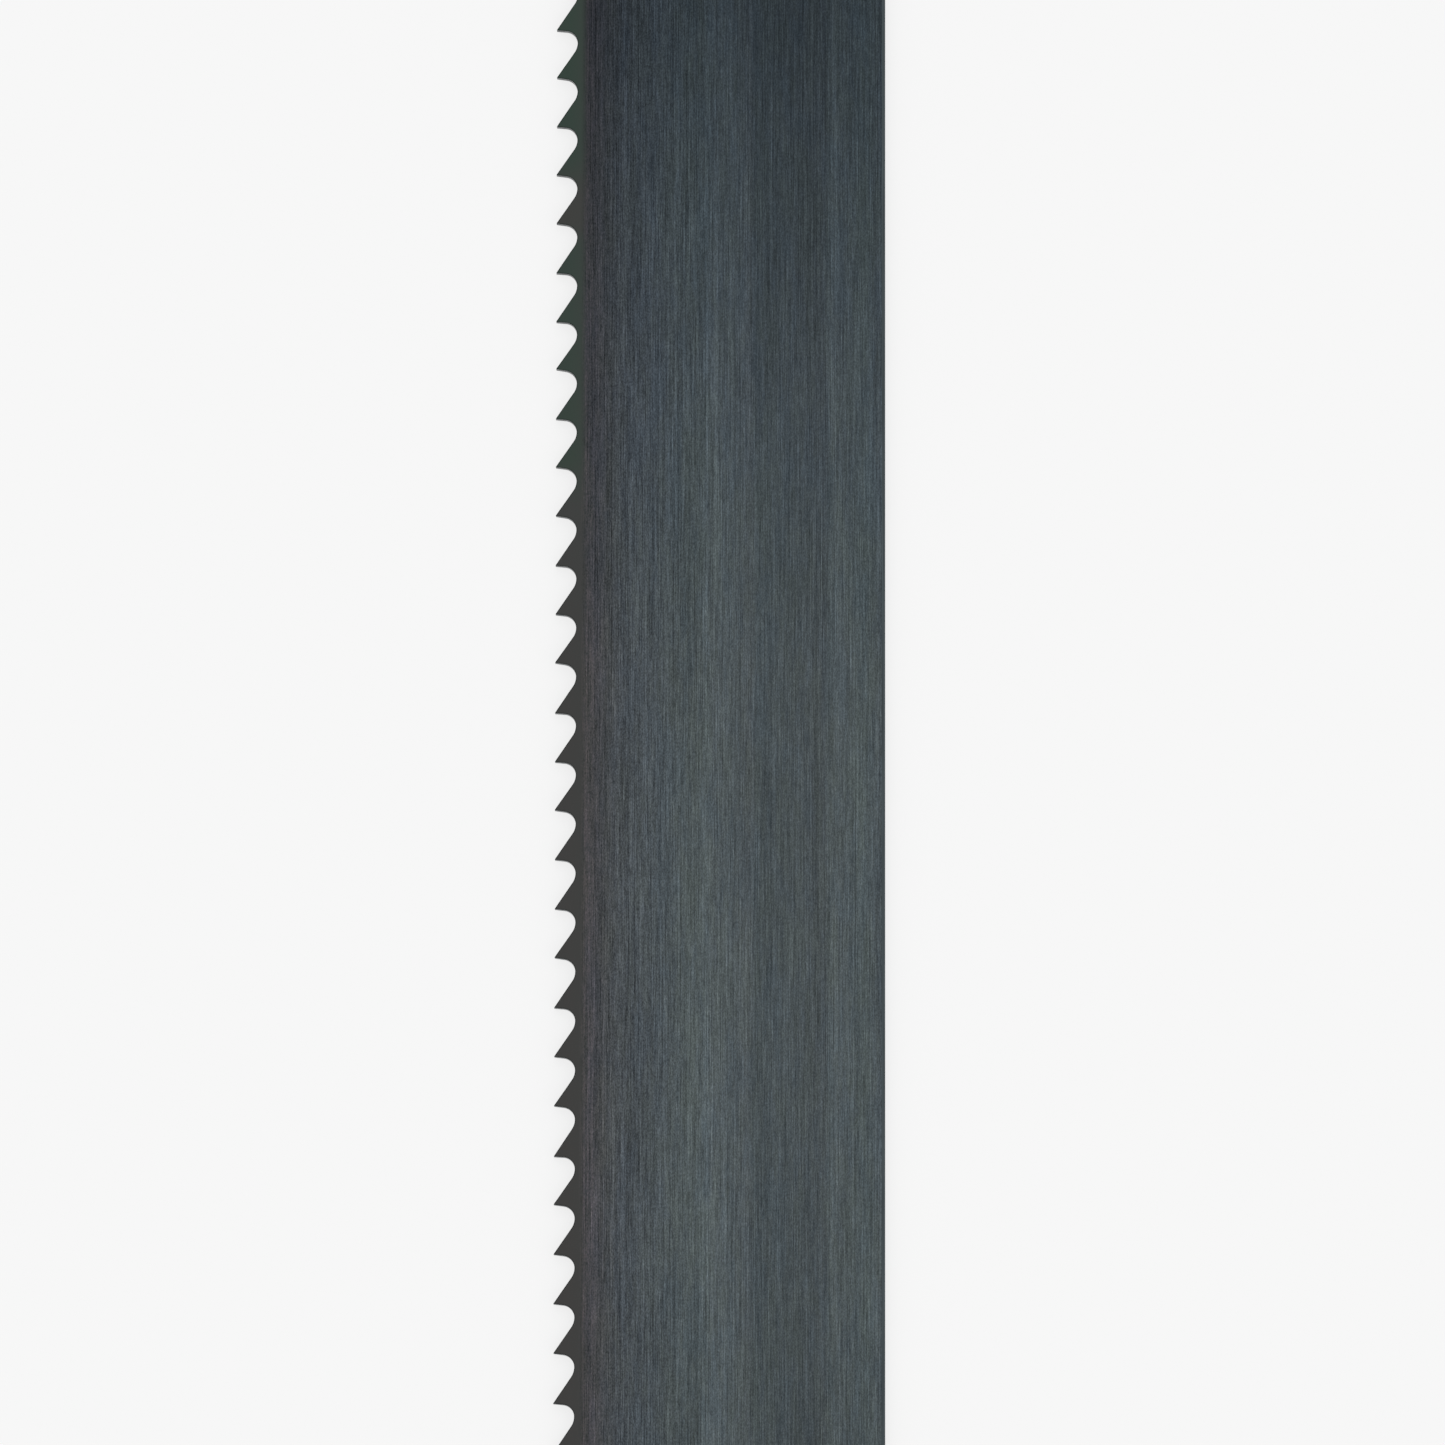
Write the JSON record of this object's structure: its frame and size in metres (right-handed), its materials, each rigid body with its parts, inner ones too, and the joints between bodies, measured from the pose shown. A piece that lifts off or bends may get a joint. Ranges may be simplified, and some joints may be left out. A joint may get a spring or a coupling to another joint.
{
  "type": "band saw blade",
  "caption": "Straight length of flat steel band saw blade with small forward-pointing teeth, set alternately left, right and straight, along one edge and a rounded back edge.",
  "frame": {"origin": "middle of the blade's length and width, on the surface that it lies on, which the tips of the teeth set downwards touch", "axes": "+X across the band from the teeth to the back edge, +Y along the band, away from the way the teeth point, +Z through its thickness"},
  "size_m": [0.034, 0.1676, 0.0017],
  "materials": {
    "hardened_band_steel": "satin"
  },
  "bodies": {
    "root": {"band_saw_blade": "hardened_band_steel"}
  },
  "joints": []
}
